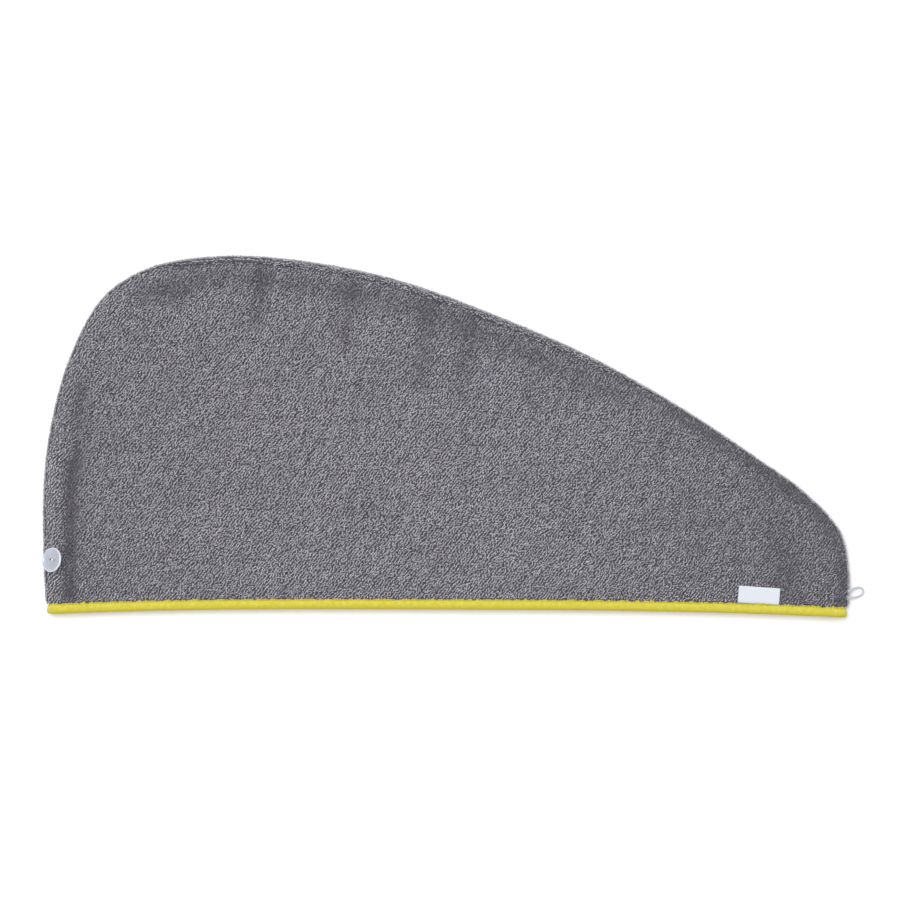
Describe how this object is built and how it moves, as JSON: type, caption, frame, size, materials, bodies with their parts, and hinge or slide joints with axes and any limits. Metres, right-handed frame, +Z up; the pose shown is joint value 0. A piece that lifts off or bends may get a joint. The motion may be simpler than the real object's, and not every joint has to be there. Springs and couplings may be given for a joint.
{
  "type": "hair turban towel",
  "caption": "Terry hair turban towel lying flat, wide head end and narrow tail, bias-bound open mouth, with a button, an elastic loop and a blank woven label.",
  "frame": {"origin": "on the surface the towel lies on, under the middle of its length and depth, the elastic loop left out", "axes": "+X along the towel to the narrow tail with the elastic loop, +Y from the bound mouth to the curved seam, +Z up from the surface it lies on"},
  "size_m": [0.6628, 0.2908, 0.023],
  "materials": {
    "terry_cloth": "looped pile, matt",
    "binding_tape": "plain woven, slightly soft sheen",
    "button_plastic": "pearly, translucent look",
    "label_satin": "woven satin",
    "elastic_cord": "braided thread over elastic"
  },
  "bodies": {
    "root": {"lower_panel": "terry_cloth", "upper_panel": "terry_cloth", "hem_binding": "binding_tape", "label": "label_satin", "button": "button_plastic", "elastic_loop": "elastic_cord"}
  },
  "joints": []
}
